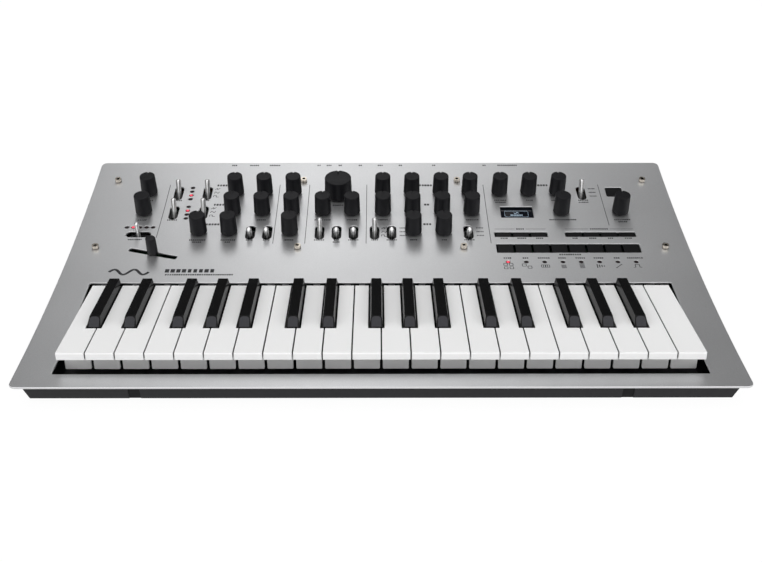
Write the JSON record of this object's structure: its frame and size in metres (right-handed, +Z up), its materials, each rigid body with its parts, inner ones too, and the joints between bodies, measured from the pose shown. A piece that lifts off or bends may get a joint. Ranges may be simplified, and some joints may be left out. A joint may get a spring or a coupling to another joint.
{
  "type": "analogue synthesizer",
  "caption": "Tabletop slim-key analogue synthesizer: curved aluminium panel with knobs, toggle levers and buttons over a tub with a wooden rear board.",
  "frame": {"origin": "centre of the footprint of the top panel, on the ground plane under the feet", "axes": "+X to the player's right, +Y to the rear, +Z up"},
  "size_m": [0.5, 0.296, 0.0832],
  "materials": {
    "panel": "bead-blasted, satin",
    "tub": "fine moulded texture",
    "wood": "satin oiled",
    "rubber": "matte",
    "screw": "nickel plated",
    "board": "solder mask",
    "pot_metal": "satin",
    "switch_body": "matte",
    "display": "gloss",
    "lamp": "tinted lens",
    "socket_metal": "nickel",
    "chassis": "zinc plated",
    "rod": "ground",
    "silicone": "matte",
    "white_key": "semi-gloss",
    "black_key": "satin gloss",
    "knob": "soft-touch",
    "chrome_lever": "polished",
    "button": "satin"
  },
  "bodies": {
    "root": {"top_panel": "panel", "bottom_tub": "tub", "rear_board": "wood", "rubber_feet": "rubber", "socket_screws": "screw", "circuit_boards": "board", "potentiometers": "pot_metal", "toggle_switch_bodies": "switch_body", "display_module": "display", "indicator_lamps": "lamp", "rear_sockets": "socket_metal", "key_frame": "chassis", "key_pivot_rod": "rod", "key_contact_board": "board", "key_contact_domes": "silicone"},
    "white_keys_low": {"white_keys_low": "white_key"},
    "white_keys_middle": {"white_keys_middle": "white_key"},
    "white_keys_high": {"white_keys_high": "white_key"},
    "black_keys_low": {"black_keys_low": "black_key"},
    "black_keys_middle": {"black_keys_middle": "black_key"},
    "black_keys_high": {"black_keys_high": "black_key"},
    "rear_row_toggles": {"rear_row_toggles": "chrome_lever"},
    "middle_row_toggles": {"middle_row_toggles": "chrome_lever"},
    "front_row_toggles_up": {"front_row_toggles_up": "chrome_lever"},
    "front_row_toggles_down": {"front_row_toggles_down": "chrome_lever"},
    "octave_lever": {"octave_lever": "chrome_lever"},
    "pitch_lever": {"pitch_lever": "knob"},
    "hold_button": {"hold_button": "button"},
    "function_buttons": {"function_buttons": "button"},
    "mode_buttons": {"mode_buttons": "button"},
    "power_button": {"power_button": "button"},
    "volume_knob": {"volume_knob": "knob"},
    "tempo_knob": {"tempo_knob": "knob"},
    "osc_1_pitch_knob": {"osc_1_pitch_knob": "knob"},
    "osc_1_shape_knob": {"osc_1_shape_knob": "knob"},
    "osc_1_level_knob": {"osc_1_level_knob": "knob"},
    "osc_2_pitch_knob": {"osc_2_pitch_knob": "knob"},
    "osc_2_shape_knob": {"osc_2_shape_knob": "knob"},
    "osc_2_level_knob": {"osc_2_level_knob": "knob"},
    "cross_modulation_knob": {"cross_modulation_knob": "knob"},
    "pitch_envelope_knob": {"pitch_envelope_knob": "knob"},
    "noise_level_knob": {"noise_level_knob": "knob"},
    "filter_cutoff_knob": {"filter_cutoff_knob": "knob"},
    "filter_resonance_knob": {"filter_resonance_knob": "knob"},
    "filter_envelope_knob": {"filter_envelope_knob": "knob"},
    "amp_attack_knob": {"amp_attack_knob": "knob"},
    "amp_decay_knob": {"amp_decay_knob": "knob"},
    "amp_sustain_knob": {"amp_sustain_knob": "knob"},
    "amp_release_knob": {"amp_release_knob": "knob"},
    "mod_attack_knob": {"mod_attack_knob": "knob"},
    "mod_decay_knob": {"mod_decay_knob": "knob"},
    "mod_sustain_knob": {"mod_sustain_knob": "knob"},
    "mod_release_knob": {"mod_release_knob": "knob"},
    "lfo_rate_knob": {"lfo_rate_knob": "knob"},
    "lfo_depth_knob": {"lfo_depth_knob": "knob"},
    "delay_filter_knob": {"delay_filter_knob": "knob"},
    "delay_time_knob": {"delay_time_knob": "knob"},
    "delay_feedback_knob": {"delay_feedback_knob": "knob"},
    "program_knob": {"program_knob": "knob"},
    "voice_depth_knob": {"voice_depth_knob": "knob"}
  },
  "joints": [
    {"name": "white_keys_low_press", "type": "hinge", "parent": "root", "child": "white_keys_low", "pos_m": [0, -0.006, 0.024], "axis": [1, 0, 0], "range_deg": [0, 2.8], "stiffness_Nm_per_rad": 8, "springref_deg": -1.15},
    {"name": "black_keys_low_press", "type": "hinge", "parent": "root", "child": "black_keys_low", "pos_m": [0, -0.006, 0.024], "axis": [1, 0, 0], "range_deg": [0, 2.8], "stiffness_Nm_per_rad": 8, "springref_deg": -1.15},
    {"name": "white_keys_middle_press", "type": "hinge", "parent": "root", "child": "white_keys_middle", "pos_m": [0, -0.006, 0.024], "axis": [1, 0, 0], "range_deg": [0, 2.8], "stiffness_Nm_per_rad": 8, "springref_deg": -1.15},
    {"name": "black_keys_middle_press", "type": "hinge", "parent": "root", "child": "black_keys_middle", "pos_m": [0, -0.006, 0.024], "axis": [1, 0, 0], "range_deg": [0, 2.8], "stiffness_Nm_per_rad": 8, "springref_deg": -1.15},
    {"name": "white_keys_high_press", "type": "hinge", "parent": "root", "child": "white_keys_high", "pos_m": [0, -0.006, 0.024], "axis": [1, 0, 0], "range_deg": [0, 2.8], "stiffness_Nm_per_rad": 8, "springref_deg": -1.15},
    {"name": "black_keys_high_press", "type": "hinge", "parent": "root", "child": "black_keys_high", "pos_m": [0, -0.006, 0.024], "axis": [1, 0, 0], "range_deg": [0, 2.8], "stiffness_Nm_per_rad": 8, "springref_deg": -1.15},
    {"name": "rear_row_toggles_flip", "type": "hinge", "parent": "root", "child": "rear_row_toggles", "pos_m": [0, 0.10516, 0.05869], "axis": [1, 0, 0], "range_deg": [0, 48]},
    {"name": "middle_row_toggles_flip", "type": "hinge", "parent": "root", "child": "middle_row_toggles", "pos_m": [0, 0.07746, 0.05209], "axis": [1, 0, 0], "range_deg": [0, 48]},
    {"name": "front_row_toggles_up_flip", "type": "hinge", "parent": "root", "child": "front_row_toggles_up", "pos_m": [0, 0.04956, 0.04543], "axis": [1, 0, 0], "range_deg": [0, 48]},
    {"name": "front_row_toggles_down_flip", "type": "hinge", "parent": "root", "child": "front_row_toggles_down", "pos_m": [0, 0.04956, 0.04543], "axis": [1, 0, 0], "range_deg": [-48, 0]},
    {"name": "octave_lever_swing", "type": "hinge", "parent": "root", "child": "octave_lever", "pos_m": [-0.1995, 0.04716, 0.04486], "axis": [0, 0.9727, 0.232], "range_deg": [-20, 20], "stiffness_Nm_per_rad": 0.02},
    {"name": "pitch_lever_slide", "type": "slide", "parent": "root", "child": "pitch_lever", "axis": [0.959, -0.2757, -0.0658], "range_m": [-0.014, 0.014], "stiffness_N_per_m": 40},
    {"name": "hold_button_press", "type": "slide", "parent": "root", "child": "hold_button", "axis": [0, 0.232, -0.9727], "range_m": [0, 0.0008], "stiffness_N_per_m": 400},
    {"name": "function_buttons_press", "type": "slide", "parent": "root", "child": "function_buttons", "axis": [0, 0.232, -0.9727], "range_m": [0, 0.0008], "stiffness_N_per_m": 400},
    {"name": "mode_buttons_press", "type": "slide", "parent": "root", "child": "mode_buttons", "axis": [0, 0.232, -0.9727], "range_m": [0, 0.0008], "stiffness_N_per_m": 400},
    {"name": "power_button_press", "type": "slide", "parent": "root", "child": "power_button", "axis": [0, -1, 0], "range_m": [0, 0.0015], "stiffness_N_per_m": 300},
    {"name": "volume_knob_turn", "type": "hinge", "parent": "root", "child": "volume_knob", "pos_m": [-0.2, 0.104, 0.06356], "axis": [0, -0.232, 0.9727], "range_deg": [-150, 150]},
    {"name": "tempo_knob_turn", "type": "hinge", "parent": "root", "child": "tempo_knob", "pos_m": [-0.2, 0.0763, 0.05695], "axis": [0, -0.232, 0.9727], "range_deg": [-150, 150]},
    {"name": "filter_cutoff_knob_turn", "type": "hinge", "parent": "root", "child": "filter_cutoff_knob", "pos_m": [-0.0364, 0.1014, 0.06294], "axis": [0, -0.232, 0.9727], "range_deg": [-150, 150]},
    {"name": "filter_resonance_knob_turn", "type": "hinge", "parent": "root", "child": "filter_resonance_knob", "pos_m": [-0.0487, 0.0763, 0.05695], "axis": [0, -0.232, 0.9727], "range_deg": [-150, 150]},
    {"name": "filter_envelope_knob_turn", "type": "hinge", "parent": "root", "child": "filter_envelope_knob", "pos_m": [-0.0241, 0.0763, 0.05695], "axis": [0, -0.232, 0.9727], "range_deg": [-150, 150]},
    {"name": "osc_1_pitch_knob_turn", "type": "hinge", "parent": "root", "child": "osc_1_pitch_knob", "pos_m": [-0.125, 0.104, 0.06356], "axis": [0, -0.232, 0.9727], "range_deg": [-150, 150]},
    {"name": "osc_1_shape_knob_turn", "type": "hinge", "parent": "root", "child": "osc_1_shape_knob", "pos_m": [-0.1, 0.104, 0.06356], "axis": [0, -0.232, 0.9727], "range_deg": [-150, 150]},
    {"name": "osc_1_level_knob_turn", "type": "hinge", "parent": "root", "child": "osc_1_level_knob", "pos_m": [-0.075, 0.104, 0.06356], "axis": [0, -0.232, 0.9727], "range_deg": [-150, 150]},
    {"name": "osc_2_pitch_knob_turn", "type": "hinge", "parent": "root", "child": "osc_2_pitch_knob", "pos_m": [-0.125, 0.0763, 0.05695], "axis": [0, -0.232, 0.9727], "range_deg": [-150, 150]},
    {"name": "osc_2_shape_knob_turn", "type": "hinge", "parent": "root", "child": "osc_2_shape_knob", "pos_m": [-0.1, 0.0763, 0.05695], "axis": [0, -0.232, 0.9727], "range_deg": [-150, 150]},
    {"name": "osc_2_level_knob_turn", "type": "hinge", "parent": "root", "child": "osc_2_level_knob", "pos_m": [-0.075, 0.0763, 0.05695], "axis": [0, -0.232, 0.9727], "range_deg": [-150, 150]},
    {"name": "cross_modulation_knob_turn", "type": "hinge", "parent": "root", "child": "cross_modulation_knob", "pos_m": [-0.15, 0.0484, 0.05029], "axis": [0, -0.232, 0.9727], "range_deg": [-150, 150]},
    {"name": "pitch_envelope_knob_turn", "type": "hinge", "parent": "root", "child": "pitch_envelope_knob", "pos_m": [-0.125, 0.0484, 0.05029], "axis": [0, -0.232, 0.9727], "range_deg": [-150, 150]},
    {"name": "noise_level_knob_turn", "type": "hinge", "parent": "root", "child": "noise_level_knob", "pos_m": [-0.075, 0.0484, 0.05029], "axis": [0, -0.232, 0.9727], "range_deg": [-150, 150]},
    {"name": "amp_attack_knob_turn", "type": "hinge", "parent": "root", "child": "amp_attack_knob", "pos_m": [0.002, 0.104, 0.06356], "axis": [0, -0.232, 0.9727], "range_deg": [-150, 150]},
    {"name": "amp_decay_knob_turn", "type": "hinge", "parent": "root", "child": "amp_decay_knob", "pos_m": [0.027, 0.104, 0.06356], "axis": [0, -0.232, 0.9727], "range_deg": [-150, 150]},
    {"name": "amp_sustain_knob_turn", "type": "hinge", "parent": "root", "child": "amp_sustain_knob", "pos_m": [0.052, 0.104, 0.06356], "axis": [0, -0.232, 0.9727], "range_deg": [-150, 150]},
    {"name": "amp_release_knob_turn", "type": "hinge", "parent": "root", "child": "amp_release_knob", "pos_m": [0.077, 0.104, 0.06356], "axis": [0, -0.232, 0.9727], "range_deg": [-150, 150]},
    {"name": "mod_attack_knob_turn", "type": "hinge", "parent": "root", "child": "mod_attack_knob", "pos_m": [0.002, 0.0763, 0.05695], "axis": [0, -0.232, 0.9727], "range_deg": [-150, 150]},
    {"name": "mod_decay_knob_turn", "type": "hinge", "parent": "root", "child": "mod_decay_knob", "pos_m": [0.027, 0.0763, 0.05695], "axis": [0, -0.232, 0.9727], "range_deg": [-150, 150]},
    {"name": "mod_sustain_knob_turn", "type": "hinge", "parent": "root", "child": "mod_sustain_knob", "pos_m": [0.052, 0.0763, 0.05695], "axis": [0, -0.232, 0.9727], "range_deg": [-150, 150]},
    {"name": "mod_release_knob_turn", "type": "hinge", "parent": "root", "child": "mod_release_knob", "pos_m": [0.077, 0.0763, 0.05695], "axis": [0, -0.232, 0.9727], "range_deg": [-150, 150]},
    {"name": "lfo_rate_knob_turn", "type": "hinge", "parent": "root", "child": "lfo_rate_knob", "pos_m": [0.027, 0.0484, 0.05029], "axis": [0, -0.232, 0.9727], "range_deg": [-150, 150]},
    {"name": "lfo_depth_knob_turn", "type": "hinge", "parent": "root", "child": "lfo_depth_knob", "pos_m": [0.052, 0.0484, 0.05029], "axis": [0, -0.232, 0.9727], "range_deg": [-150, 150]},
    {"name": "delay_filter_knob_turn", "type": "hinge", "parent": "root", "child": "delay_filter_knob", "pos_m": [0.1031, 0.104, 0.06356], "axis": [0, -0.232, 0.9727], "range_deg": [-150, 150]},
    {"name": "delay_time_knob_turn", "type": "hinge", "parent": "root", "child": "delay_time_knob", "pos_m": [0.1281, 0.104, 0.06356], "axis": [0, -0.232, 0.9727], "range_deg": [-150, 150]},
    {"name": "delay_feedback_knob_turn", "type": "hinge", "parent": "root", "child": "delay_feedback_knob", "pos_m": [0.1531, 0.104, 0.06356], "axis": [0, -0.232, 0.9727], "range_deg": [-150, 150]},
    {"name": "program_knob_turn", "type": "hinge", "parent": "root", "child": "program_knob", "pos_m": [0.1531, 0.0763, 0.05695], "axis": [0, -0.232, 0.9727], "continuous": true},
    {"name": "voice_depth_knob_turn", "type": "hinge", "parent": "root", "child": "voice_depth_knob", "pos_m": [0.203, 0.0763, 0.05695], "axis": [0, -0.232, 0.9727], "range_deg": [-150, 150]}
  ]
}
